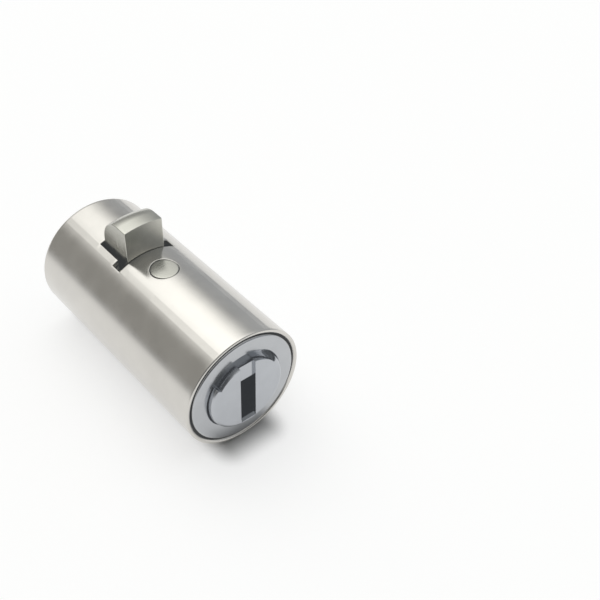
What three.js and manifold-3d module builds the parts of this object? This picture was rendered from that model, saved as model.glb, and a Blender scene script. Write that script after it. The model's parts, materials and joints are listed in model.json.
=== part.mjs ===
// Plug lock cylinder for a T-handle: a thin steel sleeve around a lock body, a turning plug
// with two rows of dimple-key pins, and a sprung tongue that the turning plug draws in.
//
// Millimetres. +Y runs along the lock axis from the face to the rear, +Z points up through
// the tongue, +X is to the right of someone who looks at the face. The origin is the centre
// of the rear face. Inside the group below, y is counted from the front ring instead.
// The pins stand at the shear line, where the right key holds them.
import * as THREE from 'three';
import { mergeVertices } from 'three/addons/utils/BufferGeometryUtils.js';
import Module from 'manifold-3d';

const wasm = await Module();
wasm.setup();

// ---- driving dimensions ----
const LENGTH = 37.5; // front ring to rear face
const SLEEVE_R = 9.5;
const SLEEVE_WALL = 0.7;
const BODY_R = 8.65;
const FIT = 0.15; // radial clearance of what turns or slides
const SIDES = 48; // flats of a large round surface
const PIN_SIDES = 12; // flats of a small round surface

const HEAD = { r: 6.05, flatR: 5.45, proud: 1, depth: 2.6 }; // plug head and its raised face
const LEDGE = { r: 5.4, halfAngle: 55, depth: 0.4 }; // the cut-back upper rim of the raised face
const BARREL = { r: 5.75, end: 20.6 };
const KEYWAY = { halfWidth: 1.25, low: -4.95, high: 2.45, end: 18.6, channelDepth: 0.45, bevel: 0.35 };

const PIN = { r: 1, tipR: 0.72, travel: 0.8, shearX: 5.62, shoulderX: 2.9, tipX: 0.9 };
const DRIVER = { x: 5.97, length: 1 };
const DRIVER_SPRING = { r: 0.72, wire: 0.12, turns: 3 };
const PIN_ROWS = {
  right: { direction: new THREE.Vector3(1, 0, 0), first: 5, count: 4 },
  left: { direction: new THREE.Vector3(-1, 0, 0), first: 6.75, count: 3 },
};
const PIN_PITCH = 3.5;

const RETAINER = { y: 17.9, r: 2, noseR: 1.2, shoulderZ: 6.4, noseZ: 4.55 };
const GROOVE = { r: 4.3, halfWidth: 1.4, from: -107, to: 17 }; // degrees from +Z towards +X
const DRILL_PIN = { r: 0.6, z: 7.45, y: 1.6, halfLength: 2.9 };

const TONGUE = { halfWidth: 3.1, front: 22.5, rear: 28.5, topR: 14.45, bottom: -1.2, rearRadius: 4.2 };
const EAR = { halfWidth: 4.4, rear: 24.05, top: 6.9 };
const OPENING = { front: 22.4, step: 24.2, rear: 28.9, wide: 4.6, narrow: 3.65, floor: -6.5 };
const TONGUE_SPRING = { x: 1.55, y: 26.4, r: 1, wire: 0.2, turns: 8, low: -7.8, high: 3.1 };

const CRANK = { r: 3.54, pinR: 0.7, pinEnd: 24.05, discR: 4.9, front: 20.75, rear: 22.2 };
const STUB = { side: 3.2, end: 21.6 };
const TAIL_SCREW = { headR: 2, shankR: 0.75, headFront: 21.7, headRear: 22.1, tip: 19.4 };

const CAP_FRONT = 35.9;
const CAP_SCREW = { x: 6.4, headR: 1.6, shankR: 0.85, rear: 37.4, neck: 36.65, tip: 32 };
const REAR_CORE = { r: 4.2, front: 30.6 };

// ---- materials ----
const metal = (color, roughness) =>
  new THREE.MeshStandardMaterial({ color, roughness, metalness: 1, flatShading: true });
const sleeveSteel = metal('#b9b3a8', 0.28);
const platedBrass = metal('#a3a7ac', 0.3);
const tongueNickel = metal('#b3ae9f', 0.3);
const pinBrass = metal('#b08a45', 0.35);
const hardSteel = metal('#6f7276', 0.4);
const springSteel = metal('#8a8c90', 0.35);

// ---- geometry helpers ----
const BACK = new THREE.Vector3(0, 1, 0);
const UP = new THREE.Vector3(0, 0, 1);

// A box between two corners.
function box(x0, x1, y0, y1, z0, z1) {
  const geometry = new THREE.BoxGeometry(x1 - x0, y1 - y0, z1 - z0);
  return geometry.translate((x0 + x1) / 2, (y0 + y1) / 2, (z0 + z1) / 2);
}

// A solid turned around the Y axis from [radius, y] corners, with the middle of its flats
// at the radius. A corner on the axis starts and ends the outline, any other closes it.
function turned(corners, sides = SIDES) {
  const reach = 1 / Math.cos(Math.PI / sides);
  const points = corners.map(([r, y]) => new THREE.Vector2(r * reach, y));
  if (corners[0][0] > 0) points.push(points[0]);
  return new THREE.LatheGeometry(points, sides, Math.PI / sides);
}

// A round rod around the Y axis.
function rod(r, y0, y1, sides = PIN_SIDES) {
  return turned([[0, y0], [r, y0], [r, y1], [0, y1]], sides);
}

// Stands a piece made along +Y on its foot at x, y, z so that it points in a direction.
function stand(geometry, direction, x = 0, y = 0, z = 0) {
  const turn = new THREE.Quaternion().setFromUnitVectors(BACK, direction);
  return geometry.applyQuaternion(turn).translate(x, y, z);
}

// A slice of a disc around the Y axis, between two angles from +Z towards +X, in degrees.
function sector(r, from, to, y0, y1) {
  const shape = new THREE.Shape();
  shape.moveTo(0, 0);
  const steps = Math.ceil((to - from) / 15);
  for (let i = 0; i <= steps; i += 1) {
    const angle = THREE.MathUtils.degToRad(from + ((to - from) * i) / steps);
    shape.lineTo(r * Math.sin(angle), r * Math.cos(angle));
  }
  const geometry = new THREE.ExtrudeGeometry(shape, { depth: y1 - y0, bevelEnabled: false });
  return geometry.rotateX(Math.PI / 2).translate(0, y1, 0);
}

// A coil spring along +Y from y = 0.
function coil({ r, wire, turns }, length) {
  class Helix extends THREE.Curve {
    getPoint(t, target = new THREE.Vector3()) {
      const angle = 2 * Math.PI * turns * t;
      return target.set(r * Math.cos(angle), wire + (length - 2 * wire) * t, r * Math.sin(angle));
    }
  }
  const section = new THREE.Shape();
  section.moveTo(wire, 0).lineTo(0, wire).lineTo(-wire, 0).lineTo(0, -wire);
  const options = { extrudePath: new Helix(), steps: turns * 8, bevelEnabled: false };
  return new THREE.ExtrudeGeometry(section, options);
}

// ---- solids and nodes ----

// Six times the volume inside the triangles, negative when their faces point inwards.
function signedVolume(position, triangles) {
  const corner = [new THREE.Vector3(), new THREE.Vector3(), new THREE.Vector3()];
  let sum = 0;
  for (let i = 0; i < triangles.length; i += 3) {
    corner.forEach((point, k) => point.fromBufferAttribute(position, triangles[i + k]));
    sum += corner[0].dot(corner[1].cross(corner[2]));
  }
  return sum;
}

// A closed geometry as a solid, with its shared vertices merged and its faces pointing out.
function solid(geometry) {
  const bare = geometry.clone();
  bare.deleteAttribute('normal');
  bare.deleteAttribute('uv');
  const merged = mergeVertices(bare, 1e-4);
  const position = merged.attributes.position;
  const triangles = [];
  for (let i = 0; i < merged.index.count; i += 3) {
    const [a, b, c] = [0, 1, 2].map((k) => merged.index.getX(i + k));
    if (a !== b && b !== c && c !== a) triangles.push(a, b, c);
  }
  if (signedVolume(position, triangles) < 0) triangles.reverse();
  return new wasm.Manifold(new wasm.Mesh({
    numProp: 3,
    vertProperties: new Float32Array(position.array),
    triVerts: new Uint32Array(triangles),
  }));
}

const cut = (shape, ...tools) => tools.reduce((rest, tool) => rest.subtract(solid(tool)), shape);
const join = (shape, piece) => shape.add(solid(piece));

function node(name, shape, material) {
  const { vertProperties, triVerts } = shape.getMesh();
  const geometry = new THREE.BufferGeometry();
  geometry.setAttribute('position', new THREE.BufferAttribute(vertProperties, 3));
  geometry.setIndex(new THREE.BufferAttribute(triVerts, 1));
  geometry.computeVertexNormals();
  const mesh = new THREE.Mesh(geometry, material);
  mesh.name = name;
  return mesh;
}

// ---- sleeve, lock body and rear cap ----

// The T-shaped opening that the tongue comes out of, from a floor upwards.
function tongueOpening(floor) {
  const { front, step, rear, wide, narrow } = OPENING;
  const top = SLEEVE_R + 1;
  return [box(-wide, wide, front, step, floor, top), box(-narrow, narrow, step - 1, rear, floor, top)];
}

function outerSleeve() {
  const bore = SLEEVE_R - SLEEVE_WALL;
  const tube = turned([
    [bore, 0.4], [bore + 0.4, 0], [9.3, 0], [SLEEVE_R, 0.2],
    [SLEEVE_R, LENGTH - 0.6], [9.15, LENGTH], [bore, LENGTH],
  ]);
  const pinHole = stand(rod(RETAINER.r + FIT, 0, SLEEVE_R + 1, 24), UP, 0, RETAINER.y);
  return node('outer_sleeve', cut(solid(tube), pinHole, ...tongueOpening(0)), sleeveSteel);
}

// Every pin stack as its side, direction, number and distance from the front ring.
const stacks = Object.entries(PIN_ROWS).flatMap(([side, { direction, first, count }]) =>
  Array.from({ length: count }, (_, i) => ({
    side, direction, name: `${side}_${i + 1}`, y: first + i * PIN_PITCH,
  })));

function lockBody() {
  const blank = turned([
    [HEAD.r + FIT, 0], [BODY_R, 0], [BODY_R, CAP_FRONT - 0.1], [REAR_CORE.r, CAP_FRONT - 0.1],
    [REAR_CORE.r, REAR_CORE.front], [0, REAR_CORE.front], [0, OPENING.front], [BARREL.r + FIT, OPENING.front],
    [BARREL.r + FIT, HEAD.depth + 0.3], [HEAD.r + FIT, HEAD.depth + 0.3],
  ]);
  const chambers = stacks.map(({ direction, y }) =>
    stand(rod(PIN.r + FIT, BARREL.r - 0.5, BODY_R + 1), direction, 0, y));
  const retainerHole = stand(turned([
    [0, BARREL.r - 2], [RETAINER.noseR + 0.1, BARREL.r - 2], [RETAINER.noseR + 0.1, RETAINER.shoulderZ - 0.1],
    [RETAINER.r + 0.1, RETAINER.shoulderZ - 0.1], [RETAINER.r + 0.1, BODY_R + 1], [0, BODY_R + 1],
  ], 24), UP, 0, RETAINER.y);
  const drillPinHoles = [-1, 1].map((side) => stand(
    rod(DRILL_PIN.r + 0.1, -BODY_R, BODY_R),
    PIN_ROWS.right.direction, 0, DRILL_PIN.y, side * DRILL_PIN.z,
  ));
  const springWells = [-1, 1].map((side) => stand(
    rod(TONGUE_SPRING.r + 0.4, TONGUE_SPRING.low - 0.15, OPENING.floor + 1),
    UP, side * TONGUE_SPRING.x, TONGUE_SPRING.y,
  ));
  const screwHoles = [-1, 1].map((side) =>
    rod(CAP_SCREW.shankR + 0.1, CAP_SCREW.tip - 0.4, LENGTH).translate(side * CAP_SCREW.x, 0, 0));
  const shape = cut(
    solid(blank), ...chambers, retainerHole, ...drillPinHoles, ...tongueOpening(OPENING.floor),
    ...springWells, ...screwHoles,
  );
  return node('lock_body', shape, platedBrass);
}

function retainingPin() {
  const stem = stand(turned([
    [0, RETAINER.noseZ], [RETAINER.noseR, RETAINER.noseZ], [RETAINER.noseR, RETAINER.shoulderZ],
    [RETAINER.r, RETAINER.shoulderZ], [RETAINER.r, SLEEVE_R + 1], [0, SLEEVE_R + 1],
  ], 24), UP, 0, RETAINER.y);
  const flush = solid(rod(SLEEVE_R, 0, LENGTH, SIDES));
  return node('retaining_pin', solid(stem).intersect(flush), tongueNickel);
}

function antiDrillPins() {
  return Object.entries({ upper: 1, lower: -1 }).map(([place, side]) => {
    const pin = rod(DRILL_PIN.r, -DRILL_PIN.halfLength, DRILL_PIN.halfLength);
    const across = stand(pin, PIN_ROWS.right.direction, 0, DRILL_PIN.y, side * DRILL_PIN.z);
    return node(`anti_drill_pin_${place}`, solid(across), hardSteel);
  });
}

function endCap() {
  const disc = turned([[0, CAP_FRONT], [BODY_R, CAP_FRONT], [BODY_R, LENGTH], [0, LENGTH]]);
  const holes = [-1, 1].map((side) => turned([
    [0, CAP_FRONT - 1], [CAP_SCREW.shankR + 0.1, CAP_FRONT - 1], [CAP_SCREW.shankR + 0.1, CAP_SCREW.neck],
    [CAP_SCREW.headR + 0.1, CAP_SCREW.rear], [CAP_SCREW.headR + 0.1, LENGTH + 1], [0, LENGTH + 1],
  ], 16).translate(side * CAP_SCREW.x, 0, 0));
  return node('end_cap', cut(solid(disc), ...holes), platedBrass);
}

function endCapScrews() {
  return Object.entries({ left: -CAP_SCREW.x, right: CAP_SCREW.x }).map(([side, x]) => {
    const screw = turned([
      [0, CAP_SCREW.tip], [CAP_SCREW.shankR, CAP_SCREW.tip], [CAP_SCREW.shankR, CAP_SCREW.neck],
      [CAP_SCREW.headR, CAP_SCREW.rear - 0.05], [CAP_SCREW.headR, CAP_SCREW.rear], [0, CAP_SCREW.rear],
    ], 16);
    const slot = box(x - 2, x + 2, CAP_SCREW.rear - 0.4, LENGTH, -0.25, 0.25);
    return node(`end_cap_screw_${side}`, cut(solid(screw.translate(x, 0, 0)), slot), hardSteel);
  });
}

// ---- plug and its tail ----

function plug() {
  const { r, flatR, proud, depth } = HEAD;
  const edge = r - flatR; // radius of the rounded rim
  const rim = [0, 30, 60, 90].map((angle) => {
    const turn = THREE.MathUtils.degToRad(angle);
    return [flatR + edge * Math.sin(turn), edge - proud - edge * Math.cos(turn)];
  });
  const blank = turned([
    [0, -proud], ...rim, [r, depth], [BARREL.r, depth], [BARREL.r, BARREL.end], [0, BARREL.end],
  ]);
  const stub = box(-STUB.side / 2, STUB.side / 2, BARREL.end - 1, STUB.end, -STUB.side / 2, STUB.side / 2);
  const screwHole = rod(TAIL_SCREW.shankR + 0.1, TAIL_SCREW.tip - 0.1, STUB.end + 1);

  const ledge = solid(sector(r + 1, -LEDGE.halfAngle, LEDGE.halfAngle, -proud - 1, LEDGE.depth));
  const insideLedge = rod(LEDGE.r, -proud - 2, LEDGE.depth + 1, SIDES);
  const { halfWidth, low, high, end, channelDepth, bevel } = KEYWAY;
  const slot = box(-halfWidth, halfWidth, -proud - 1, end, low, high);
  const side = bevel / Math.SQRT2;
  const entry = box(-halfWidth, halfWidth, -side, side, -side, side);
  entry.rotateX(Math.PI / 4).translate(0, -proud, low);
  const channel = box(-halfWidth, halfWidth, -proud - 1, channelDepth - proud, high - 1, r + 1);
  const groove = solid(sector(
    r + 1, GROOVE.from, GROOVE.to, RETAINER.y - GROOVE.halfWidth, RETAINER.y + GROOVE.halfWidth));

  const chambers = stacks.map(({ direction, y }) => {
    const step = PIN.shoulderX - PIN.travel - 0.1;
    return stand(turned([
      [0, halfWidth / 2], [PIN.tipR + 0.1, halfWidth / 2], [PIN.tipR + 0.1, step],
      [PIN.r + FIT, step], [PIN.r + FIT, BARREL.r + 1], [0, BARREL.r + 1],
    ], PIN_SIDES), direction, 0, y);
  });
  const shape = cut(
    join(solid(blank), stub.rotateY(Math.PI / 4)), screwHole, slot, entry, channel, ...chambers,
  );
  const floor = rod(GROOVE.r, 0, BARREL.end + 1, SIDES);
  return node('plug', shape.subtract(cut(ledge, insideLedge)).subtract(cut(groove, floor)), platedBrass);
}

// The place of the crank pin at rest, half-way up on the right.
const crankOffset = CRANK.r * Math.SQRT1_2;

function tailCam() {
  const disc = rod(CRANK.discR, CRANK.front, CRANK.rear, 32);
  const half = STUB.side / 2 + 0.1;
  const square = box(-half, half, CRANK.front - 1, CRANK.rear + 1, -half, half).rotateY(Math.PI / 4);
  const headSeat = rod(TAIL_SCREW.headR + 0.15, TAIL_SCREW.headFront - 0.05, CRANK.rear + 1, 16);
  const pinHole = rod(CRANK.pinR + 0.05, CRANK.front - 1, CRANK.rear + 1);
  const shape = cut(solid(disc), square, headSeat, pinHole.translate(crankOffset, 0, crankOffset));
  return node('tail_cam', shape, hardSteel);
}

function camPin() {
  const pin = rod(CRANK.pinR, CRANK.front + 0.1, CRANK.pinEnd);
  return node('cam_pin', solid(pin.translate(crankOffset, 0, crankOffset)), hardSteel);
}

function tailScrew() {
  const { headR, shankR, headFront, headRear, tip } = TAIL_SCREW;
  const screw = turned([
    [0, tip], [shankR, tip], [shankR, headFront], [headR, headFront], [headR, headRear], [0, headRear],
  ], 16);
  const slot = box(-3, 3, headRear - 0.2, headRear + 1, -0.25, 0.25);
  return node('tail_screw', cut(solid(screw), slot), hardSteel);
}

// ---- tongue and its springs ----

function tongue() {
  const { halfWidth, front, rear, topR, bottom, rearRadius } = TONGUE;
  const bar = box(-halfWidth, halfWidth, front, rear, bottom, topR);
  // Its outside is turned around the lock axis: a flat land, then a large radius to the rear.
  const rearArc = [90, 75, 60, 45, 30, 15, 0].map((angle) => {
    const turn = THREE.MathUtils.degToRad(angle);
    return [topR - rearRadius * (1 - Math.sin(turn)), rear - rearRadius * (1 - Math.cos(turn))];
  });
  const envelope = solid(turned([[0, front - 1], [topR, front - 1], ...rearArc, [0, rear]], 120));
  const ears = box(-EAR.halfWidth, EAR.halfWidth, front, EAR.rear, bottom, EAR.top);
  // The crank pin pushes down on the shelf under this window. The tongue can also be pushed
  // in by hand, away from the pin.
  const shelf = crankOffset - CRANK.pinR - 0.2;
  const window = box(1.3, EAR.halfWidth + 1, front - 1, CRANK.pinEnd + 0.35, shelf, EAR.top + 1.5);
  const springHoles = [-1, 1].map((x) => stand(
    rod(TONGUE_SPRING.r + 0.35, bottom - 1, TONGUE_SPRING.high + 0.15),
    UP, x * TONGUE_SPRING.x, TONGUE_SPRING.y,
  ));
  const shape = cut(join(solid(bar).intersect(envelope), ears), window, ...springHoles);
  return node('tongue', shape, tongueNickel);
}

function tongueSprings() {
  const { x, y, low, high } = TONGUE_SPRING;
  return Object.entries({ left: -x, right: x }).map(([side, place]) => {
    const spring = stand(coil(TONGUE_SPRING, high - low), UP, place, y, low);
    return node(`tongue_spring_${side}`, solid(spring), springSteel);
  });
}

// ---- pin stacks ----

function pinStack({ name, direction, y }) {
  const keyPin = turned([
    [0, PIN.tipX], [PIN.tipR / 2, PIN.tipX], [PIN.tipR, PIN.tipX + 0.5], [PIN.tipR, PIN.shoulderX],
    [PIN.r, PIN.shoulderX], [PIN.r, PIN.shearX], [0, PIN.shearX],
  ], PIN_SIDES);
  const driverEnd = DRIVER.x + DRIVER.length;
  const driver = turned([
    [0, DRIVER.x], [PIN.r, DRIVER.x], [PIN.r, driverEnd - 0.4], [PIN.r - 0.25, driverEnd - 0.2],
    [PIN.r - 0.25, driverEnd], [0, driverEnd],
  ], PIN_SIDES);
  const spring = coil(DRIVER_SPRING, BODY_R - 0.05 - driverEnd - 0.05).translate(0, driverEnd + 0.05, 0);
  return [
    node(`key_pin_${name}`, solid(stand(keyPin, direction, 0, y)), pinBrass),
    node(`driver_pin_${name}`, solid(stand(driver, direction, 0, y)), hardSteel),
    node(`driver_spring_${name}`, solid(stand(spring, direction, 0, y)), springSteel),
  ];
}

// ---- the assembly ----
const lock = new THREE.Group();
lock.position.y = -LENGTH; // from the front ring to the rear face
lock.add(
  outerSleeve(), lockBody(), retainingPin(), ...antiDrillPins(), endCap(), ...endCapScrews(),
  plug(), tailCam(), camPin(), tailScrew(), tongue(), ...tongueSprings(), ...stacks.flatMap(pinStack),
);

const assembly = new THREE.Group();
assembly.add(lock);
export default assembly;
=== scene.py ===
"""The looks of the plug lock cylinder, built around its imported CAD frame.

Lengths named below are in millimetres and are multiplied by MM where a mesh is made. Around the
lock axis, angles are measured from +Z towards +X. Depths are measured from the front ring's face
towards the rear, and front() turns a depth into a y of the frame.
"""
import json
import math

import bmesh
import bpy
from mathutils import Matrix, Vector


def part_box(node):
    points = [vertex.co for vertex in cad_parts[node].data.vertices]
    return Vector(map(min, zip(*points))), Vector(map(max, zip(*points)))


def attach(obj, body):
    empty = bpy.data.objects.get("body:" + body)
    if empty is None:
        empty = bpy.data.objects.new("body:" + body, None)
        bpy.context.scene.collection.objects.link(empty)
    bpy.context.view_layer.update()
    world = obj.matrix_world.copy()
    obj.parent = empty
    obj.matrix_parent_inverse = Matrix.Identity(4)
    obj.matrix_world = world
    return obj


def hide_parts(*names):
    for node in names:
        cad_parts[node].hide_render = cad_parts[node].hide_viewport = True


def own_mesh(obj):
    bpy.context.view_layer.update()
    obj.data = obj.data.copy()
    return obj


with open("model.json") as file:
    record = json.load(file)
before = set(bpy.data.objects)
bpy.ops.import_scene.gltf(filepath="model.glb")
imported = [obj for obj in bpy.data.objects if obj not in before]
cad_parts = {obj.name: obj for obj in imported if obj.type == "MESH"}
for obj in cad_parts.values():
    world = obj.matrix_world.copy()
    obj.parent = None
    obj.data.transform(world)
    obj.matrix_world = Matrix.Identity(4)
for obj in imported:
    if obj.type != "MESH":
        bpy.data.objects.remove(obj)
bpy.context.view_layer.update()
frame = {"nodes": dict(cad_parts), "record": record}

MM = 0.001
UP, REARWARDS, RIGHT, LEFT = (0, 0, 1), (0, 1, 0), (1, 0, 0), (-1, 0, 0)

# ---- sizes read from the frame ----
sleeve_low, sleeve_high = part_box("outer_sleeve")
plug_low, plug_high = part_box("plug")
tongue_low, tongue_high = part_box("tongue")
pin_low, pin_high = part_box("retaining_pin")
cap_low, cap_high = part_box("end_cap")
screw_low, screw_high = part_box("end_cap_screw_right")


def depth_of(y):
    """How far a y of the frame, in metres, lies behind the front ring's face."""
    return (y - sleeve_low.y) / MM


FRONT_Y = sleeve_low.y / MM
LENGTH = depth_of(sleeve_high.y)
SLEEVE_R = sleeve_high.x / MM
PROUD = -depth_of(plug_low.y)  # how far the plug's face stands out of the ring
HEAD_R = plug_high.x / MM
TONGUE_FRONT = depth_of(tongue_low.y)
TONGUE_REAR = depth_of(tongue_high.y)
TONGUE_TOP_R = tongue_high.z / MM
TONGUE_BOTTOM = tongue_low.z / MM
EAR_HALF = tongue_high.x / MM
PIN_R = (pin_high.x - pin_low.x) / 2 / MM
PIN_DEPTH = (pin_high.y + pin_low.y) / 2 / MM - FRONT_Y
PIN_TIP = pin_low.z / MM
CAP_FRONT = depth_of(cap_low.y)
CAP_R = cap_high.x / MM
SCREW_X = (screw_high.x + screw_low.x) / 2 / MM
SCREW_HEAD_R = (screw_high.x - screw_low.x) / 2 / MM
SCREW_TIP = depth_of(screw_low.y)
SCREW_END = depth_of(screw_high.y)

# ---- sizes of the fine shapes ----
COLUMNS = 240  # around a full turn
EDGE = 0.09  # rounding of a machined edge
STEPS = 5  # strips in a rounded edge
SLACK = 1e-6  # two lengths that differ by less are the same

BORE_R = 8.84  # inside of the sleeve
OPENING = {"front": 22.4, "step": 24.2, "rear": 28.9, "wide": 4.6, "narrow": 3.65, "edge": 0.12}
CHAMBER_FLOOR = -6.5  # of the tongue's chamber, which goes on below the opening
PIN_HOLE = {"r": PIN_R + 0.09, "patch": 3.3, "cells": 11}  # patch: half of the square around it
PIN_END = {"curve": 0.35, "sunk": 0.07}  # curve: its share of the sleeve's own curve
PIN_NOSE = {"r": 1.2, "top": 6.4, "chamfer": 0.2}

BODY_R = 8.58
RING = {"bore": 6.2, "depth": 2.9}
BARREL_BORE = {"r": 5.9, "end": OPENING["front"] + 0.05}  # its end opens into the tongue's chamber
REAR_RECESS = {"r": 4.2, "floor": 30.6}
NOSE_HOLE = {"r": 1.3, "low": 4, "step": 6.3, "gap": 0.1}
DRILL_PIN = {"r": 0.7, "depth": 1.6, "z": 7.45}
SCREW_HOLE = {"r": 0.95, "floor": 31.6}

FLAT_R = 5.45  # where the plug's face starts to round down
LEDGE = {"r": 5.4, "angle": 55, "depth": 0.4}
KEYWAY = {"half": 1.25, "low": -4.95, "high": 2.45, "end": 18.6, "channel": 0.45, "bevel": 0.35}
BARREL = {"r": 5.75, "head": 2.6, "end": 20.6}
STUB = {"corner": 2.263, "length": 1}  # corner: from the axis to a corner of the square
STUB_HOLE = {"r": 0.85, "floor": 19.3, "end": 23}
GROOVE = {"r": 4.3, "half": 1.4, "first": -107, "last": 17}
PIN_STACKS = [(RIGHT, 5 + 3.5 * k) for k in range(4)] + [(LEFT, 6.75 + 3.5 * k) for k in range(3)]
PIN_CHAMBER = {"r": 1.15, "low": 5.2}
KEY_PIN_HOLE = {"tip_r": 0.82, "tip": 0.6, "step": 2}

TONGUE = {"half": 3.1, "rear_radius": 4.2, "seam": 9}  # seam: the height where its sides are split
EARS = {"gap": 0.02, "rear": 24.05, "low": TONGUE_BOTTOM + 0.05, "top": 6.9}
CRANK_WINDOW = {"inner": 1.3, "rear": 24.4, "low": 1.6, "high": 8.4}
SPRING = {"x": 1.55, "depth": 26.4, "r": 1, "wire": 0.2, "turns": 8, "low": -7.8, "high": 3.1}
SPRING_WELL = {"r": 1.4, "floor": -7.95}
SPRING_POCKET = {"r": 1.35, "top": 3.25}

SINK = {"shank": 1, "gap": 0.12, "chamfer": 0.18}
SCREW = {"shank": 0.85, "tip": 0.25, "head": 0.75, "slot_half": 0.24, "slot_depth": 0.45}


def front(depth):
    """The y, in millimetres, of a depth behind the front ring's face."""
    return FRONT_Y + depth


def polar(r, degrees):
    """x and z of a point at a radius and an angle around the lock axis."""
    return (r * math.sin(math.radians(degrees)), r * math.cos(math.radians(degrees)))


def at(x, z, depth):
    return (x, front(depth), z)


# ---- mesh building ----
class Skin:
    """Strips and faces of one closed skin, welded where their points meet."""

    def __init__(self):
        self.mesh = bmesh.new()

    def face(self, points):
        corners = [self.mesh.verts.new([c * MM for c in p]) for p in points]
        self.mesh.faces.new(corners)

    def strips(self, rows, skip=None, closed=False):
        """Quads between neighbouring rows of points; skip(i, j) leaves one out."""
        grid = [[self.mesh.verts.new([c * MM for c in p]) for p in row] for row in rows]
        for i in range(len(grid) - 1):
            count = len(grid[i])
            for j in range(count if closed else count - 1):
                if skip and skip(i, j):
                    continue
                k = (j + 1) % count
                self.mesh.faces.new((grid[i][j], grid[i][k], grid[i + 1][k], grid[i + 1][j]))

    def finish(self, name):
        bmesh.ops.remove_doubles(self.mesh, verts=self.mesh.verts, dist=0.0005 * MM)
        bmesh.ops.dissolve_degenerate(self.mesh, edges=self.mesh.edges, dist=0.0002 * MM)
        loose = [v for v in self.mesh.verts if not v.link_faces]
        bmesh.ops.delete(self.mesh, geom=loose, context="VERTS")
        bmesh.ops.recalc_face_normals(self.mesh, faces=self.mesh.faces)
        data = bpy.data.meshes.new(name)
        self.mesh.to_mesh(data)
        self.mesh.free()
        piece = bpy.data.objects.new(name, data)
        bpy.context.scene.collection.objects.link(piece)
        return piece


def round_corners(corners):
    """A polyline of (a, b) points from (a, b, radius) corners, each rounded by an arc."""
    line = []
    for i, (a, b, radius) in enumerate(corners):
        here = Vector((a, b))
        if not radius:
            line.append((a, b))
            continue
        before = (Vector(corners[i - 1][:2]) - here).normalized()
        after = (Vector(corners[(i + 1) % len(corners)][:2]) - here).normalized()
        half = before.angle(after) / 2
        centre = here + (before + after).normalized() * (radius / math.sin(half))
        start = here + before * (radius / math.tan(half)) - centre
        end = here + after * (radius / math.tan(half)) - centre
        sweep = start.angle_signed(end)
        for k in range(STEPS + 1):
            spoke = start.copy()
            spoke.rotate(Matrix.Rotation(-sweep * k / STEPS, 2))
            line.append(tuple(centre + spoke))
    return line


def quarter(radius):
    """(distance from the wall, drop below the surface) along a rounded edge."""
    turns = [math.pi / 2 * k / STEPS for k in range(STEPS + 1)]
    return [(radius * (1 - math.sin(t)), radius * (1 - math.cos(t))) for t in turns]


def normals_of(line, closed=False):
    """The unit normal at each (a, b) point of a line, to the left of its way."""
    normals = []
    final = len(line) - 1
    for i in range(len(line)):
        before = line[i - 1] if closed or i > 0 else line[0]
        after = line[(i + 1) % len(line)] if closed or i < final else line[final]
        along = Vector((after[0] - before[0], after[1] - before[1])).normalized()
        normals.append(Vector((-along.y, along.x)))
    return normals


def turned(count):
    """Angles around a full turn, in radians."""
    return [2 * math.pi * k / count for k in range(count)]


def lathe(name, corners, columns=COLUMNS, x=0, closed=False):
    """A solid turned around an axis along Y from (radius, depth, rounding) corners."""
    profile = round_corners(corners)
    if closed:
        profile.append(profile[0])
    skin = Skin()
    rows = []
    for r, depth in profile:
        rows.append([(x + r * math.sin(a), front(depth), r * math.cos(a)) for a in turned(columns)])
    skin.strips(rows, closed=True)
    return skin.finish(name)


def box(name, low, high):
    skin = Skin()
    xs, ys, zs = zip(low, high)
    for z in zs:
        skin.face([(xs[0], ys[0], z), (xs[1], ys[0], z), (xs[1], ys[1], z), (xs[0], ys[1], z)])
    for y in ys:
        skin.face([(xs[0], y, zs[0]), (xs[1], y, zs[0]), (xs[1], y, zs[1]), (xs[0], y, zs[1])])
    for x in xs:
        skin.face([(x, ys[0], zs[0]), (x, ys[1], zs[0]), (x, ys[1], zs[1]), (x, ys[0], zs[1])])
    return skin.finish(name)


def rod(name, steps, towards, foot, columns=24):
    """A stepped rod of (radius, height) steps that stands on foot (x, depth, z) and points towards."""
    skin = Skin()
    turn = Vector(UP).rotation_difference(Vector(towards))
    start = Vector((foot[0], front(foot[1]), foot[2]))
    rows = []
    for radius, height in [(0, steps[0][1]), *steps, (0, steps[-1][1])]:
        ring = [Vector((radius * math.cos(a), radius * math.sin(a), height)) for a in turned(columns)]
        rows.append([turn @ p + start for p in ring])
    skin.strips(rows, closed=True)
    return skin.finish(name)


def sector(name, inner, outer, start, end, first, last):
    """A slice of a ring between two radii, two depths and two angles in degrees."""
    skin = Skin()
    rows = []
    for k in range(33):
        sine, cosine = polar(1, first + (last - first) * k / 32)
        corners = ((inner, start), (outer, start), (outer, end), (inner, end))
        rows.append([(r * sine, front(d), r * cosine) for r, d in corners])
    skin.strips(rows, closed=True)
    skin.face(rows[0])
    skin.face(rows[-1])
    return skin.finish(name)


def prism(name, outline, left, right):
    """A straight bar along X from an outline of (depth, z) points."""
    skin = Skin()
    ends = [[(x, front(depth), z) for depth, z in outline] for x in (left, right)]
    skin.strips(ends, closed=True)
    for end in ends:
        skin.face(end)
    return skin.finish(name)


def carve(piece, *tools, operation="DIFFERENCE"):
    """Cuts the tools out of the piece, or joins them to it, and removes them."""
    for tool in tools:
        cut = piece.modifiers.new("cut", "BOOLEAN")
        cut.operation = operation
        cut.solver = "EXACT"
        cut.object = tool
        evaluated = piece.evaluated_get(bpy.context.evaluated_depsgraph_get())
        data = bpy.data.meshes.new_from_object(evaluated)
        piece.modifiers.remove(cut)
        piece.data = data
        bpy.data.objects.remove(tool)
    return piece


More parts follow.
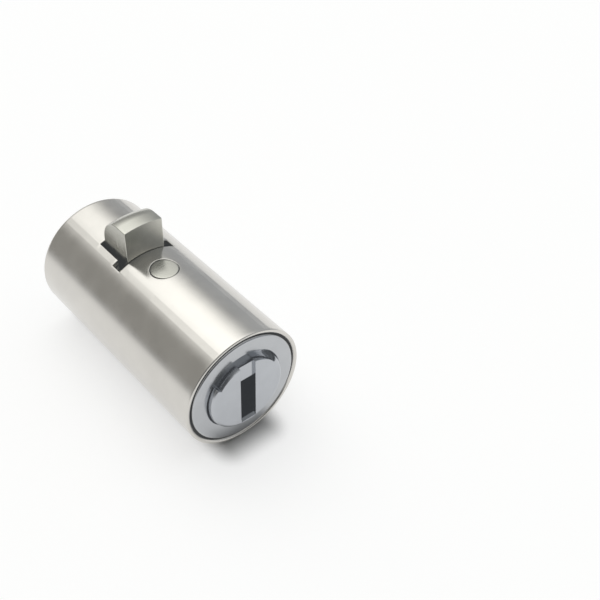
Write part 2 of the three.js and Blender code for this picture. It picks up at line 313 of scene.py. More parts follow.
def smooth(piece, angle=32):
    """Smooth shading with flat faces kept flat, and creases where the faces meet sharply."""
    data = piece.data
    data.shade_smooth()
    data.set_sharp_from_angle(angle=math.radians(angle))
    weigh = piece.modifiers.new("flat faces stay flat", "WEIGHTED_NORMAL")
    weigh.keep_sharp = True
    weigh.weight = 90
    return piece


# ---- sleeve ----
TOP_ANGLE = math.asin((OPENING["wide"] + OPENING["edge"]) / SLEEVE_R)  # of the last line of constant x


def opening_distance(x, depth):
    """How far a point of the sleeve is from the T-shaped opening; negative inside it."""
    wide = max(abs(x) - OPENING["wide"], OPENING["front"] - depth, depth - OPENING["step"])
    narrow = max(abs(x) - OPENING["narrow"], OPENING["front"] - depth, depth - OPENING["rear"])
    return min(wide, narrow)


def opening_drop(x, depth):
    """How far the opening's rounded edge lies below the sleeve's surface."""
    radius = OPENING["edge"]
    distance = max(0, opening_distance(x, depth))
    if distance >= radius:
        return 0
    return radius - math.sqrt(radius**2 - (radius - distance) ** 2)


def sorted_unique(values):
    kept = []
    for v in sorted(values):
        if not kept or v - kept[-1] > SLACK:
            kept.append(v)
    return kept


def sleeve_angles():
    """The columns: lines of constant x near the top, then of constant angle round the rest."""
    patch, cells = PIN_HOLE["patch"], PIN_HOLE["cells"]
    across = [patch * k / cells for k in range(cells + 1)] + [OPENING["narrow"], OPENING["wide"]]
    across += [OPENING[part] + d for part in ("narrow", "wide") for d, _ in quarter(OPENING["edge"])]
    right = [math.asin(x / SLEEVE_R) for x in sorted_unique(across)]
    count = int(COLUMNS / 2 * (1 - TOP_ANGLE / math.pi))
    right += [TOP_ANGLE + (math.pi - TOP_ANGLE) * k / count for k in range(1, count + 1)]
    return [-a for a in reversed(right[1:-1])] + right


def sleeve_depths():
    """The rows, which are closest at the pin's hole and at the opening's edges."""
    patch, cells = PIN_HOLE["patch"], PIN_HOLE["cells"]
    edge = quarter(OPENING["edge"])
    depths = [0.5, 1.5, 4, 8, 12, LENGTH - 0.65, LENGTH - 2, LENGTH - 4.5]
    depths += [PIN_DEPTH + patch * k / cells for k in range(-cells, cells + 1)]
    depths += [OPENING["front"] - d for d, _ in edge]
    depths += [OPENING[part] + d for part in ("step", "rear") for d, _ in edge]
    depths += [OPENING["step"] + (OPENING["rear"] - OPENING["step"]) * k / 8 for k in range(9)]
    return sorted_unique(depths)


def bore_angle(angle):
    """The same line of constant x on the bore, eased back to the same angle below."""
    size = abs(angle)
    if size <= TOP_ANGLE:
        return math.copysign(math.asin(min(1, SLEEVE_R * math.sin(size) / BORE_R)), angle)
    top = math.asin(SLEEVE_R * math.sin(TOP_ANGLE) / BORE_R)
    return math.copysign(top + (size - TOP_ANGLE) * (math.pi - top) / (math.pi - TOP_ANGLE), angle)


def sleeve_point(angle, depth, r):
    share = (SLEEVE_R - r) / (SLEEVE_R - BORE_R)
    a = angle + (bore_angle(angle) - angle) * share
    return (r * math.sin(a), front(depth), r * math.cos(a))


def in_top(angle):
    return abs(angle) < math.pi / 2


def sleeve_sides(skin, angles, depths):
    """The outside and the bore, without the opening and the patch around the pin's hole."""

    def cell_open(i, j):
        k = (j + 1) % len(angles)
        if not (in_top(angles[j]) and in_top(angles[k])):
            return False
        x = SLEEVE_R * (math.sin(angles[j]) + math.sin(angles[k])) / 2
        depth = (depths[i] + depths[i + 1]) / 2
        in_patch = abs(x) < PIN_HOLE["patch"] and abs(depth - PIN_DEPTH) < PIN_HOLE["patch"]
        return opening_distance(x, depth) < 0 or in_patch

    def outer_point(angle, depth):
        fall = opening_drop(SLEEVE_R * math.sin(angle), depth) if in_top(angle) else 0
        return sleeve_point(angle, depth, SLEEVE_R - fall)

    skin.strips([[outer_point(a, d) for a in angles] for d in depths], skip=cell_open, closed=True)
    bore = [[sleeve_point(a, d, BORE_R) for a in angles] for d in depths]
    skin.strips(bore, skip=cell_open, closed=True)


def sleeve_rims(skin, angles, first, last):
    """The rolled front rim and the rounded rear rim join the outside to the bore."""
    front_rim = [(SLEEVE_R, first, 0), (SLEEVE_R, 0, 0.22), (BORE_R, 0, 0.42), (BORE_R, first, 0)]
    rear_rim = [(SLEEVE_R, last, 0), (SLEEVE_R, LENGTH, 0.5), (BORE_R, LENGTH, 0.08), (BORE_R, last, 0)]
    for rim in (front_rim, rear_rim):
        rows = [[sleeve_point(a, depth, r) for a in angles] for r, depth in round_corners(rim)]
        skin.strips(rows, closed=True)


def opening_walls(skin, angles, depths):
    """The walls of the opening, from its rounded edge down to the bore."""
    for side in (-1, 1):
        for part, start, end in (("wide", "front", "step"), ("narrow", "step", "rear")):
            x = OPENING[part]
            angle = side * math.asin(x / SLEEVE_R)
            run = [d for d in depths if OPENING[start] - SLACK <= d <= OPENING[end] + SLACK]
            edge = [sleeve_point(angle, d, SLEEVE_R - opening_drop(x, d)) for d in run]
            skin.strips([edge, [sleeve_point(angle, d, BORE_R) for d in run]])
    wide, narrow = OPENING["wide"], OPENING["narrow"]
    tops = [a for a in angles if in_top(a)]
    for part, low, high in (("front", 0, wide), ("step", narrow, wide), ("rear", 0, narrow)):
        for side in (-1, 1):
            run = [a for a in tops if low - SLACK <= side * SLEEVE_R * math.sin(a) <= high + SLACK]
            radii = (SLEEVE_R - OPENING["edge"], BORE_R)
            skin.strips([[sleeve_point(a, OPENING[part], r) for a in run] for r in radii])


def pin_hole(skin):
    """A square patch around the pin's round hole, with rings that close in on its edge."""
    patch, cells, hole_r = PIN_HOLE["patch"], PIN_HOLE["cells"], PIN_HOLE["r"]
    stations = [patch * k / cells for k in range(-cells, cells)]
    square = [(x, -patch) for x in stations] + [(patch, depth) for depth in stations]
    square += [(-x, -depth) for x, depth in square]

    def ring(share, r, radius):
        """From the hole, at share 0, to the square, at share 1."""
        points = []
        for x, depth in square:
            size = radius / math.hypot(x, depth)
            size += (1 - size) * share
            points.append((x * size, front(PIN_DEPTH + depth * size), math.sqrt(r**2 - (x * size) ** 2)))
        return points

    rings = [ring(s / 6, SLEEVE_R, hole_r + EDGE) for s in range(6, 0, -1)]
    rings += [ring(0, SLEEVE_R - fall, hole_r + d) for d, fall in quarter(EDGE)]
    rings += [ring(s / 6, BORE_R, hole_r) for s in range(7)]
    skin.strips(rings, closed=True)


def sleeve():
    skin = Skin()
    angles, depths = sleeve_angles(), sleeve_depths()
    sleeve_sides(skin, angles, depths)
    sleeve_rims(skin, angles, depths[0], depths[-1])
    opening_walls(skin, angles, depths)
    pin_hole(skin)
    return smooth(skin.finish("sleeve_shell"))


# ---- flush pin ----
def flush_pin():
    """Its end is filed nearly flat, a little below the sleeve's crown."""
    skin = Skin()

    def ring(radius, height_at):
        around = [(radius * math.sin(a), front(PIN_DEPTH) + radius * math.cos(a)) for a in turned(72)]
        return [(x, y, height_at(x)) for x, y in around]

    def end(fall):
        top = SLEEVE_R - PIN_END["sunk"] - fall
        return lambda x: PIN_END["curve"] * (math.sqrt(SLEEVE_R**2 - x**2) - SLEEVE_R) + top

    def level(height):
        return lambda x: height

    nose, step, chamfer = PIN_NOSE["r"], PIN_NOSE["top"], PIN_NOSE["chamfer"]
    shank = [(PIN_R, step), (nose, step), (nose, PIN_TIP + chamfer), (nose - chamfer, PIN_TIP), (0, PIN_TIP)]
    rows = [ring(PIN_R * share / 8, end(0)) for share in range(8)]
    rows += [ring(PIN_R - d, end(fall)) for d, fall in quarter(EDGE)]
    rows += [ring(r, level(z)) for r, z in shank]
    skin.strips(rows, closed=True)
    return smooth(skin.finish("flush_pin"))


# ---- lock body ----
def tongue_chamber():
    """The T-shaped hole below the sleeve's opening, as tools to cut with."""
    wide, narrow, low, high = OPENING["wide"], OPENING["narrow"], CHAMBER_FLOOR, SLEEVE_R + 1
    return [
        box("cut", (-wide, front(OPENING["front"]), low), (wide, front(OPENING["step"]), high)),
        box("cut", (-narrow, front(OPENING["step"] - 1), low), (narrow, front(OPENING["rear"]), high)),
    ]


def body_tools():
    beyond = BODY_R + 1
    chamber = [(PIN_CHAMBER["r"], PIN_CHAMBER["low"]), (PIN_CHAMBER["r"], beyond)]
    tools = [rod("cut", chamber, side, (0, depth, 0)) for side, depth in PIN_STACKS]
    tools += tongue_chamber()
    nose_r, pin_r, step = NOSE_HOLE["r"], PIN_R + NOSE_HOLE["gap"], NOSE_HOLE["step"]
    pin_bore = [(nose_r, NOSE_HOLE["low"]), (nose_r, step), (pin_r, step), (pin_r, beyond)]
    tools.append(rod("cut", pin_bore, UP, (0, PIN_DEPTH, 0), 48))
    well = [(SPRING_WELL["r"], SPRING_WELL["floor"]), (SPRING_WELL["r"], CHAMBER_FLOOR + 1)]
    cross = [(DRILL_PIN["r"], -BODY_R), (DRILL_PIN["r"], BODY_R)]
    screw = [(SCREW_HOLE["r"], SCREW_HOLE["floor"]), (SCREW_HOLE["r"], LENGTH)]
    for side in (-1, 1):
        tools.append(rod("cut", well, UP, (side * SPRING["x"], SPRING["depth"], 0)))
        tools.append(rod("cut", cross, RIGHT, (0, DRILL_PIN["depth"], side * DRILL_PIN["z"])))
        tools.append(rod("cut", screw, REARWARDS, (side * SCREW_X, 0, 0)))
    return tools


def body():
    rear = CAP_FRONT - 0.1
    shape = lathe("body_casting", [
        (RING["bore"], 0, 0.16),
        (BODY_R, 0, 0.3),
        (BODY_R, rear, 0.2),
        (REAR_RECESS["r"], rear, 0.1),
        (REAR_RECESS["r"], REAR_RECESS["floor"], 0),
        (0, REAR_RECESS["floor"], 0),
        (0, BARREL_BORE["end"], 0),
        (BARREL_BORE["r"], BARREL_BORE["end"], 0),
        (BARREL_BORE["r"], RING["depth"], 0),
        (RING["bore"], RING["depth"], 0),
    ], closed=True)
    return smooth(carve(shape, *body_tools()))


# ---- plug ----
RIM = HEAD_R - FLAT_R  # radius of the rounded rim
RIM_STEPS = 9
RIM_RADII = [FLAT_R + RIM * math.sin(math.pi / 2 * k / RIM_STEPS) for k in range(RIM_STEPS + 1)]
LEDGE_ANGLES = [-LEDGE["angle"] + 2 * LEDGE["angle"] * k / 50 for k in range(51)]


def rim_drop(x, z):
    """How far the rounded rim lies behind the plug's face."""
    over = min(max(math.hypot(x, z) - FLAT_R, 0), RIM)
    return RIM - math.sqrt(RIM**2 - over**2)


def cut_outline():
    """The wall line, as (x, z), of everything that is cut into the face.

    Its right side goes up the keyway, out along the ledge and through the rim. Its left side
    mirrors it and comes first.
    """
    half, low, high, r, last = KEYWAY["half"], KEYWAY["low"], KEYWAY["high"], LEDGE["r"], LEDGE["angle"]
    first = math.degrees(math.asin(half / r))
    arc = [polar(r, first + (last - first) * k / 24) for k in range(1, 24)]
    corners = [(0, low, 0), (half, low, 0.14), (half, high, 0), (half, math.sqrt(r**2 - half**2), 0.11)]
    corners += [(x, z, 0) for x, z in arc]
    corners.append((*polar(r, last), 0.08))
    corners += [(*polar(rim_r, last), 0) for rim_r in RIM_RADII]
    right = round_corners(corners)
    return [(-x, z) for x, z in reversed(right[1:])] + right


def cut_edges(wall):
    """Rows of points along the rounded edge of the cuts, from the face to the walls."""
    normals = normals_of(wall)
    rows = []
    for distance, fall in quarter(EDGE):
        inset = [(x - n.x * distance, z - n.y * distance) for (x, z), n in zip(wall, normals)]
        rows.append([at(x, z, -PROUD + rim_drop(x, z) + fall) for x, z in inset])
    return rows


def plug_face(skin, inset):
    """The flat face and its rounded rim, up to the cuts' edge. Returns the rim's outermost row."""
    first = math.degrees(math.atan2(inset[-1][0], inset[-1][2]))
    angles = [first + (360 - 2 * first) * k / 180 for k in range(181)]
    rows = []
    for k, r in enumerate(RIM_RADII):
        row = [at(*polar(r, a), -PROUD + rim_drop(*polar(r, a))) for a in angles]
        row[0], row[-1] = inset[len(inset) - 1 - RIM_STEPS + k], inset[RIM_STEPS - k]
        rows.append(row)
    skin.strips(rows)
    skin.face(inset[RIM_STEPS:len(inset) - RIM_STEPS] + rows[0][1:-1])
    return angles, rows[-1]


def cut_walls(skin, wall, edge):
    """Walls and floors of the keyway, the channel over it and the ledge; edge is their top row."""
    half, high, end = KEYWAY["half"], KEYWAY["high"], KEYWAY["end"]
    floor, deep = KEYWAY["channel"] - PROUD, LEDGE["depth"]
    middle = len(edge) // 2
    # How many points the keyway's and the channel's tops are from the middle of the line.
    key_top = next(i for i, (_, z) in enumerate(wall[middle:]) if z >= high - SLACK)
    channel_top = next(i for i, (x, _) in enumerate(wall[middle:]) if x > half + 1e-4) - 1

    def drop_to(indices, *depths):
        skin.strips([[edge[i] for i in indices]] + [[at(*wall[i], d) for i in indices] for d in depths])

    keyway = list(range(middle - key_top, middle + key_top + 1))
    drop_to(keyway, floor, end)
    skin.face([at(*wall[i], end) for i in keyway])
    for sign in (-1, 1):
        drop_to([middle + sign * i for i in range(key_top, channel_top + 1)], floor)
        corner, after = middle + sign * channel_top, middle + sign * (channel_top + 1)
        below = [at(*wall[corner], floor), at(*wall[corner], deep), at(*wall[after], deep)]
        skin.face([edge[corner], *below, edge[after]])
        drop_to([middle + sign * i for i in range(channel_top + 1, middle + 1)], deep)

    top = wall[middle + channel_top][1]
    skin.face([at(x, z, floor) for x, z in ((-half, high), (half, high), (half, top), (-half, top))])
    for z, far in ((high, end), (top, deep)):
        skin.face([at(-half, z, floor), at(half, z, floor), at(half, z, far), at(-half, z, far)])

    ledge = [at(*point, deep) for point in wall[middle + channel_top:]]
    ledge += [at(*polar(HEAD_R, a), deep) for a in reversed(LEDGE_ANGLES[1:-1])]
    ledge += [at(*point, deep) for point in wall[:middle - channel_top + 1]]
    skin.face(ledge)


def plug_barrel(skin, wall, edges, angles, rim):
    """The head's side under the rim, the barrel and its square stub."""
    deep, head, end = LEDGE["depth"], BARREL["head"], BARREL["end"]
    side = [polar(HEAD_R, a) for a in angles]
    skin.strips([rim, [at(x, z, deep) for x, z in side]])
    for side_end, wall_end in ((0, -1), (-1, 0)):
        column = [row[wall_end] for row in edges]
        skin.face([*column, at(*wall[wall_end], deep), at(*side[side_end], deep)])
    around = side + [polar(HEAD_R, a) for a in LEDGE_ANGLES]
    rows = []
    for r, depth in ((HEAD_R, deep), (HEAD_R, head), (BARREL["r"], head), (BARREL["r"], end)):
        rows.append([at(x * r / HEAD_R, z * r / HEAD_R, depth) for x, z in around])
    to_square = [STUB["corner"] / (abs(x) + abs(z)) for x, z in around]
    stub_end = end + STUB["length"]
    for depth in (end, stub_end):
        rows.append([at(x * size, z * size, depth) for (x, z), size in zip(around, to_square)])
    rows.append([at(0, 0, stub_end)] * len(around))
    skin.strips(rows, closed=True)


def plug_tools():
    """The pin holes, the screw hole in the stub, the groove and the keyway's bevelled lower end."""
    hole = [(KEY_PIN_HOLE["tip_r"], KEY_PIN_HOLE["tip"]), (KEY_PIN_HOLE["tip_r"], KEY_PIN_HOLE["step"]),
            (PIN_CHAMBER["r"], KEY_PIN_HOLE["step"]), (PIN_CHAMBER["r"], BARREL["r"] + 1)]
    tools = [rod("cut", hole, side, (0, depth, 0)) for side, depth in PIN_STACKS]
    screw = [(STUB_HOLE["r"], STUB_HOLE["floor"]), (STUB_HOLE["r"], STUB_HOLE["end"])]
    tools.append(rod("cut", screw, REARWARDS, (0, 0, 0)))
    groove = (PIN_DEPTH - GROOVE["half"], PIN_DEPTH + GROOVE["half"], GROOVE["first"], GROOVE["last"])
    tools.append(sector("cut", GROOVE["r"], HEAD_R + 1, *groove))
    half, low, bevel, before = KEYWAY["half"], KEYWAY["low"], KEYWAY["bevel"], -PROUD - 0.1
    wedge = [(before, low - bevel - 0.1), (-PROUD + bevel, low), (before, low)]
    tools.append(prism("cut", wedge, -half, half))
    return tools


def plug():
    skin = Skin()
    wall = cut_outline()
    edges = cut_edges(wall)
    skin.strips(edges)
    angles, rim = plug_face(skin, edges[0])
    cut_walls(skin, wall, edges[-1])
    plug_barrel(skin, wall, edges, angles, rim)
    return smooth(carve(skin.finish("plug_core"), *plug_tools()))


# ---- tongue ----
def tongue_outline():
    """(depth, height) points around its side, with the rounded back."""
    top, rear_r, seam = TONGUE_TOP_R, TONGUE["rear_radius"], TONGUE["seam"]
    back = [math.pi / 2 * k / 24 for k in range(24, -1, -1)]
    corners = [(TONGUE_FRONT, TONGUE_BOTTOM, 0.1), (TONGUE_FRONT, 4, 0), (TONGUE_FRONT, seam, 0)]
    corners.append((TONGUE_FRONT, top, EDGE + 0.01))
    for t in back:
        corners.append((TONGUE_REAR - rear_r * (1 - math.cos(t)), top - rear_r * (1 - math.sin(t)), 0))
    corners += [(TONGUE_REAR, seam, 0), (TONGUE_REAR, 4, 0), (TONGUE_REAR, TONGUE_BOTTOM, 0.1)]
    return round_corners(corners)


def tongue():
    skin = Skin()
    outline = tongue_outline()
    normals = normals_of(outline, closed=True)

    def row(x, inset):
        points = []
        for (depth, height), n in zip(outline, normals):
            height -= n.y * inset
            # The crown follows the sleeve, so there height is a distance from the lock axis.
            z = math.sqrt(height**2 - x**2) if height > 6 else height
            points.append(at(x, z, depth - n.x * inset))
        return points

    half = TONGUE["half"]
    rows = [row(d - half, fall) for d, fall in reversed(quarter(EDGE))]
    rows += [row((half - EDGE) * k / 8, 0) for k in range(-7, 8)]
    rows += [row(half - d, fall) for d, fall in quarter(EDGE)]
    skin.strips(rows, closed=True)
    # Each side is two faces, above and below a line hidden in the sleeve.
    low, high = (outline.index((depth, TONGUE["seam"])) for depth in (TONGUE_FRONT, TONGUE_REAR))
    for side in (rows[0], rows[-1]):
        skin.face(side[low:high + 1])
        skin.face(side[high:] + side[:low + 1])
    bolt = skin.finish("tongue_bolt")

    # Ears that stop it under the sleeve, and the window that the crank pin works in.
    ears = box("join", (-EAR_HALF, front(TONGUE_FRONT + EARS["gap"]), EARS["low"]),
               (EAR_HALF, front(EARS["rear"]), EARS["top"]))
    window = box("cut", (CRANK_WINDOW["inner"], front(TONGUE_FRONT - 1), CRANK_WINDOW["low"]),
                 (EAR_HALF + 1, front(CRANK_WINDOW["rear"]), CRANK_WINDOW["high"]))
    pocket = [(SPRING_POCKET["r"], TONGUE_BOTTOM - 1), (SPRING_POCKET["r"], SPRING_POCKET["top"])]
    pockets = [rod("cut", pocket, UP, (side * SPRING["x"], SPRING["depth"], 0)) for side in (-1, 1)]
    return smooth(carve(carve(bolt, ears, operation="UNION"), window, *pockets))


def tongue_spring(name, x):
    """A coil of round wire that stands in its well and pushes the tongue up."""
    skin = Skin()
    radius, wire = SPRING["r"], SPRING["wire"]
    low, high = SPRING["low"] + wire, SPRING["high"] - wire
    per_turn = 24
    steps = SPRING["turns"] * per_turn
    rows = []
    for k in range(steps + 1):
        turn = 2 * math.pi * k / per_turn
        middle = low + (high - low) * k / steps
        section = [(radius + wire * math.cos(a), middle + wire * math.sin(a)) for a in turned(8)]
        ring = [(x + r * math.cos(turn), z, SPRING["depth"] + r * math.sin(turn)) for r, z in section]
        rows.append([at(*point) for point in ring])
    skin.strips(rows, closed=True)
    skin.face(rows[0])
    skin.face(rows[-1])
    return smooth(skin.finish(name), 60)


# ---- rear cap and its screws ----
def rear_cap():
    corners = [(0, CAP_FRONT, 0), (CAP_R, CAP_FRONT, 0.1), (CAP_R, LENGTH, 0.22), (0, LENGTH, 0)]
    shape = lathe("rear_plate", corners)
    before, beyond = CAP_FRONT - 1, LENGTH + 0.11
    shank, seat, mouth = SINK["shank"], SCREW_HEAD_R + SINK["gap"], beyond - SINK["chamfer"]
    profile = [
        (0, before, 0),
        (shank, before, 0),
        (shank, SCREW_END - SCREW["head"], 0),
        (seat, SCREW_END, 0),
        (seat, mouth, 0),
        (seat + SINK["chamfer"], beyond, 0),
        (0, beyond, 0),
    ]
    return smooth(carve(shape, *[lathe("cut", profile, 64, x) for x in (-SCREW_X, SCREW_X)]))


def cap_screw(name, x, slot_angle):
    shape = lathe(name, [
        (0, SCREW_TIP, 0),
        (SCREW["shank"], SCREW_TIP, SCREW["tip"]),
        (SCREW["shank"], SCREW_END - SCREW["head"], 0),
        (SCREW_HEAD_R, SCREW_END - 0.06, 0.05),
        (SCREW_HEAD_R - 0.06, SCREW_END, 0),
        (0, SCREW_END, 0),
    ], 64, x)
    half = SCREW["slot_half"]
    slot = box("cut", (-2, front(SCREW_END - SCREW["slot_depth"]), -half), (2, front(SCREW_END + 1), half))
    slot.rotation_euler.y = math.radians(slot_angle)
    slot.location.x = x * MM
    bpy.context.view_layer.update()
    return smooth(carve(shape, slot))


# ---- materials ----
class Shader:
    """The nodes of a material or world, built up from named inputs."""

    def __init__(self, owner):
        self.tree = owner.node_tree

    def add(self, kind, inputs=None, **settings):
        node = self.tree.nodes.new(kind)
        for key, value in settings.items():
            setattr(node, key, value)
        self.feed(node, inputs or {})
        return node

    def feed(self, node, inputs):
        for key, value in inputs.items():
            self.set_socket(node.inputs[key], value)

    def set_socket(self, socket, value):
        if isinstance(value, bpy.types.NodeSocket):
            self.tree.links.new(value, socket)
        else:
            socket.default_value = value

    def math(self, operation, a, b=0.0):
        return self.add("ShaderNodeMath", {0: a, 1: b}, operation=operation).outputs[0]

    def place(self):
        return self.add("ShaderNodeTexCoord").outputs["Object"]

    def axes(self, vector):
        return self.add("ShaderNodeSeparateXYZ", {0: vector}).outputs

    def length(self, vector):
        return self.add("ShaderNodeVectorMath", {0: vector}, operation="LENGTH").outputs["Value"]

    def stretched(self, vector, scale):
        return self.add("ShaderNodeMapping", {"Vector": vector, "Scale": scale}).outputs[0]

    def noise(self, vector, scale, detail=3.0, roughness=0.55):
        inputs = {"Vector": vector, "Scale": scale, "Detail": detail, "Roughness": roughness}
        return self.add("ShaderNodeTexNoise", inputs).outputs["Fac"]

    def ramp(self, value, low, high, start=0.0, end=1.0):
        inputs = {"Value": value, "From Min": low, "From Max": high, "To Min": start, "To Max": end}
        return self.add("ShaderNodeMapRange", inputs, interpolation_type="SMOOTHSTEP").outputs[0]

    def mix(self, share, a, b):
        node = self.add("ShaderNodeMix", data_type="RGBA")
        for key, value in {"Factor": share, "A": a, "B": b}.items():
            socket = next(i for i in node.inputs if i.name == key and (key == "Factor" or i.type == "RGBA"))
            self.set_socket(socket, value)
        return next(o for o in node.outputs if o.type == "RGBA")


PAINTED_GLOW = 0.018  # painted glow: a faint emission on all the metal, so that no gap is quite black
PAINTED_GLOW_COLOR = (0.95, 1.0, 1.05, 1)


def shade(color, factor):
    return (*[min(1, c * factor) for c in color], 1)


def fine_lines(nodes, place, grain):
    """The relief of a finish: lines around the lock, turned rings on its face, or an even grain."""
    if grain == "around":
        return nodes.noise(nodes.stretched(place, (90, 26000, 90)), 1.0, 4.0)
    if grain == "turned":
        radius = nodes.length(nodes.stretched(place, (1, 0, 1)))
        rings = nodes.add("ShaderNodeCombineXYZ", {"X": radius, "Y": nodes.axes(place)["Y"]}).outputs[0]
        return nodes.noise(nodes.stretched(rings, (22000, 9000, 1)), 1.0, 3.0)
    return nodes.noise(place, 9000.0, 4.0)


def worn_ends(nodes, place, clouds, low, high):
    """1 near the y low and high, in metres, where handling has rubbed the plating brighter."""
    y = nodes.axes(place)["Y"]
    uneven = nodes.math("MULTIPLY", clouds, 0.9 * MM)
    near_low = nodes.ramp(nodes.math("ADD", y, uneven), low, low + 1.3 * MM, 1, 0)
    near_high = nodes.ramp(nodes.math("SUBTRACT", y, uneven), high - 1.1 * MM, high, 0, 1)
    return nodes.math("MAXIMUM", near_low, near_high)


def metal(name, color, roughness, grain, grain_depth, wear=None):
    """Plated or polished metal with soft clouds, specks, scratches and a faint painted glow. grain_depth is
    in mm.
    """
    material = bpy.data.materials.new(name)
    material.use_nodes = True
    nodes = Shader(material)
    place = nodes.place()
    lines = fine_lines(nodes, place, grain)
    clouds = nodes.noise(place, 260.0, 4.0, 0.6)
    specks = nodes.noise(place, 5200.0, 2.0, 0.4)
    scratches = nodes.ramp(nodes.noise(nodes.stretched(place, (160, 9000, 160)), 1.0, 2.0, 0.35), 0.72, 0.78)

    tone = nodes.mix(nodes.ramp(clouds, 0.3, 0.7), shade(color, 0.965), shade(color, 1.03))
    tone = nodes.mix(nodes.ramp(specks, 0.60, 0.78, 0, 0.25), tone, shade(color, 0.8))
    rough = nodes.ramp(clouds, 0.3, 0.7, roughness * 0.86, roughness * 1.14)
    rough = nodes.math("ADD", rough, nodes.math("MULTIPLY", scratches, 0.05))
    if wear:
        worn = worn_ends(nodes, place, clouds, *wear)
        tone = nodes.mix(nodes.math("MULTIPLY", worn, 0.4), tone, shade(color, 1.1))
        rough = nodes.math("ADD", rough, nodes.math("MULTIPLY", worn, 0.05))

    relief = nodes.math("ADD", lines, nodes.math("MULTIPLY", scratches, -0.25))
    relief = nodes.math("ADD", relief, nodes.math("MULTIPLY", clouds, 0.25))
    bump = nodes.add("ShaderNodeBump", {"Height": relief, "Strength": 1.0, "Distance": grain_depth * MM})
    surface = nodes.tree.nodes["Principled BSDF"]
    nodes.feed(surface, {"Base Color": tone, "Metallic": 1.0, "Roughness": rough, "Normal": bump.outputs[0]})
    # Painted glow: the metal gives off a little light of its own, which lifts the darkest gaps.
    nodes.feed(surface, {"Emission Color": PAINTED_GLOW_COLOR, "Emission Strength": PAINTED_GLOW})
    return material


SLEEVE_ENDS = (sleeve_low.y, sleeve_high.y)
MATERIALS = {
    "sleeve_steel": metal("sleeve_satin_steel", (0.62, 0.60, 0.565), 0.21, "around", 0.0010, SLEEVE_ENDS),
    "body_plating": metal("body_satin_plating", (0.455, 0.465, 0.48), 0.2, "turned", 0.0009),
    "plug_plating": metal("plug_satin_plating", (0.45, 0.465, 0.49), 0.17, "even", 0.0007),
    "tongue_nickel": metal("tongue_warm_nickel", (0.505, 0.5, 0.453), 0.24, "even", 0.0010),
    "pin_brass": metal("pin_brass", (0.66, 0.47, 0.21), 0.3, "even", 0.0008),
    "hard_steel": metal("hard_steel", (0.36, 0.36, 0.37), 0.34, "even", 0.0010),
    "spring_steel": metal("spring_steel", (0.48, 0.48, 0.49), 0.3, "even", 0.0008),
}

for subpart in frame["record"]["subparts"]:
    node = frame["nodes"][subpart["node"]]
    for slot in node.material_slots:
        slot.material = MATERIALS[subpart["material_slot"]]

# ---- pieces: each with the body it moves with, the CAD node it stands for and its material slot ----
PIECES = [
    (sleeve(), "housing", "outer_sleeve", "sleeve_steel"),
    (flush_pin(), "housing", "retaining_pin", "tongue_nickel"),
    (body(), "housing", "lock_body", "body_plating"),
    (rear_cap(), "housing", "end_cap", "body_plating"),
    (cap_screw("countersunk_screw_left", -SCREW_X, 35), "housing", "end_cap_screw_left", "hard_steel"),
    (cap_screw("countersunk_screw_right", SCREW_X, -20), "housing", "end_cap_screw_right", "hard_steel"),
    (plug(), "plug", "plug", "plug_plating"),
    (tongue(), "tongue", "tongue", "tongue_nickel"),
]
TONGUE_SPRINGS = [
    (tongue_spring("coil_spring_left", -SPRING["x"]), "housing", "tongue_spring_left", "spring_steel"),
    (tongue_spring("coil_spring_right", SPRING["x"]), "housing", "tongue_spring_right", "spring_steel"),
]
for piece, rides_on, stands_for, slot_name in PIECES + TONGUE_SPRINGS:
    piece.data.materials.clear()
    piece.data.materials.append(MATERIALS[slot_name])
    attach(piece, rides_on)
    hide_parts(stands_for)

# Each spring gets a mesh of its own; in the lock the springs shorten as the tongue comes down on them.
for piece, *_ in TONGUE_SPRINGS:
    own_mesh(piece)

# ---- floor ----
FLOOR_HALF = 2.0  # in metres
FLOOR_TONE = 0.5
FLOOR_GLOW = 0.58
PAINTED_SHADOW_HALF = 3 * MM  # half the width of the painted contact shadow under the lock
SIDE_SHADE, END_SHADE = 4 * MM, 5 * MM  # the painted shadow fades and the glow comes in over these distances from the strip
DIM_X, LIT_X, DIM_SHARE = -0.15, -0.04, 0.4  # painted shade: far to the left the floor's colour and glow are darker


def glow_round_painted_shadow(nodes, axes):
    """The share of the glow: 0 on the strip that the lock lies on, and 1 all round it, a contact shadow
    painted into the floor's glow.
    """
    beside = nodes.math("SUBTRACT", nodes.math("ABSOLUTE", axes["X"]), PAINTED_SHADOW_HALF)
    along = nodes.math("ABSOLUTE", nodes.math("SUBTRACT", axes["Y"], (sleeve_low.y + sleeve_high.y) / 2))
    beyond = nodes.math("SUBTRACT", along, LENGTH / 2 * MM)
    sideways = nodes.math("DIVIDE", nodes.math("MAXIMUM", beside, 0.0), SIDE_SHADE)
    endways = nodes.math("DIVIDE", nodes.math("MAXIMUM", beyond, 0.0), END_SHADE)
    offset = nodes.add("ShaderNodeCombineXYZ", {"X": sideways, "Y": endways}).outputs[0]
    return nodes.ramp(nodes.length(offset), 0.0, 1.0)


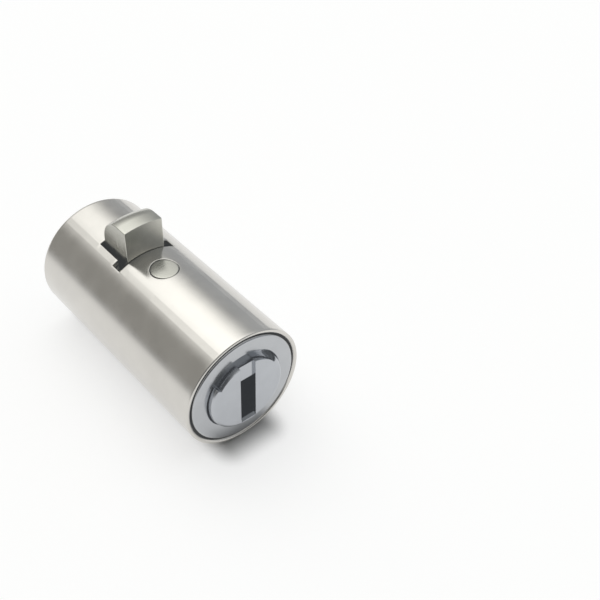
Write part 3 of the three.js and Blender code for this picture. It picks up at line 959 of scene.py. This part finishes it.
def floor():
    h, z = FLOOR_HALF, sleeve_low.z
    data = bpy.data.meshes.new("floor")
    data.from_pydata([(-h, -h, z), (h, -h, z), (h, h, z), (-h, h, z)], [], [(0, 1, 2, 3)])
    plane = bpy.data.objects.new("floor", data)
    bpy.context.scene.collection.objects.link(plane)
    material = bpy.data.materials.new("pale_floor")
    material.use_nodes = True
    nodes = Shader(material)
    axes = nodes.axes(nodes.place())
    # Painted shade: far to the left the floor's colour and glow fade darker, as the light falls off.
    fade = nodes.ramp(axes["X"], DIM_X, LIT_X, DIM_SHARE, 1)
    tone = nodes.math("MULTIPLY", fade, FLOOR_TONE)
    # Painted contact shadow: the floor's glow is cut away on and near the strip under the lock.
    glow = nodes.math("MULTIPLY", nodes.math("MULTIPLY", fade, glow_round_painted_shadow(nodes, axes)), FLOOR_GLOW)
    color = nodes.add("ShaderNodeCombineColor", {"Red": tone, "Green": tone, "Blue": tone}).outputs[0]
    surface = nodes.tree.nodes["Principled BSDF"]
    nodes.feed(surface, {"Base Color": color, "Roughness": 0.9})
    nodes.feed(surface, {"Emission Color": (1, 1, 1, 1), "Emission Strength": glow})
    data.materials.append(material)


# ---- light ----
# A long soft box hangs over the lock, along its axis. The room is cool on its right, warmer on
# its left and dim in front.
BOX_LEAN = math.radians(4)  # towards the right
BOX_CORE, BOX_EDGE = math.radians(10), math.radians(53)  # its full light, and where it ends
BOX_LIGHT = (1.76, 1.77, 1.74, 1)
LEFT_LIGHT = (0.355, 0.35, 0.33, 1)
RIGHT_LIGHT = (0.46, 0.48, 0.50, 1)
DIM_LIGHT = (0.12, 0.125, 0.125, 1)


def studio_light():
    world = bpy.data.worlds.new("studio")
    bpy.context.scene.world = world
    world.use_nodes = True
    nodes = Shader(world)
    axes = nodes.axes(nodes.add("ShaderNodeTexCoord").outputs["Generated"])
    around = nodes.math("SUBTRACT", nodes.math("ARCTAN2", axes["X"], axes["Z"]), BOX_LEAN)
    across = nodes.ramp(nodes.math("ABSOLUTE", around), BOX_CORE, BOX_EDGE, 1, 0)
    front_end = nodes.ramp(axes["Y"], -0.9, 0.2)
    rear_end = nodes.ramp(axes["Y"], 0.58, 0.95, 1, 0.3)
    overhead = nodes.math("MULTIPLY", across, nodes.math("MULTIPLY", front_end, rear_end))
    rightwards = nodes.ramp(axes["X"], 0.1, 0.9)
    forwards = nodes.ramp(axes["Y"], -0.7, 0.2, 1, 0)
    room = nodes.mix(rightwards, nodes.mix(forwards, LEFT_LIGHT, DIM_LIGHT), RIGHT_LIGHT)
    sky = {"Color": nodes.mix(overhead, room, BOX_LIGHT), "Strength": 1.0}
    nodes.feed(nodes.tree.nodes["Background"], sky)


# ---- camera ----
EYE = Vector((-53.8, -71.2, 97.5))  # from the centre of the front ring
LOOK_AZIMUTH, LOOK_ELEVATION, ROLL = (math.radians(a) for a in (-41.7, 42.3, 2.0))
LENS, SENSOR = 57.9, 36


def camera():
    data = bpy.data.cameras.new("camera")
    data.lens = LENS
    data.sensor_width = SENSOR
    data.clip_start = 0.005
    data.clip_end = 10
    eye = bpy.data.objects.new("camera", data)
    bpy.context.scene.collection.objects.link(eye)
    back = Vector((math.sin(LOOK_AZIMUTH) * math.cos(LOOK_ELEVATION),
                   -math.cos(LOOK_AZIMUTH) * math.cos(LOOK_ELEVATION), math.sin(LOOK_ELEVATION)))
    turn = (-back).to_track_quat("-Z", "Y")
    roll = Matrix.Rotation(ROLL, 3, "Z").to_quaternion()
    eye.rotation_mode = "QUATERNION"
    eye.rotation_quaternion = turn @ roll
    eye.location = Vector((0, FRONT_Y, 0)) * MM + EYE * MM
    bpy.context.scene.camera = eye


floor()
studio_light()
camera()
bpy.context.scene.view_settings.view_transform = "Standard"
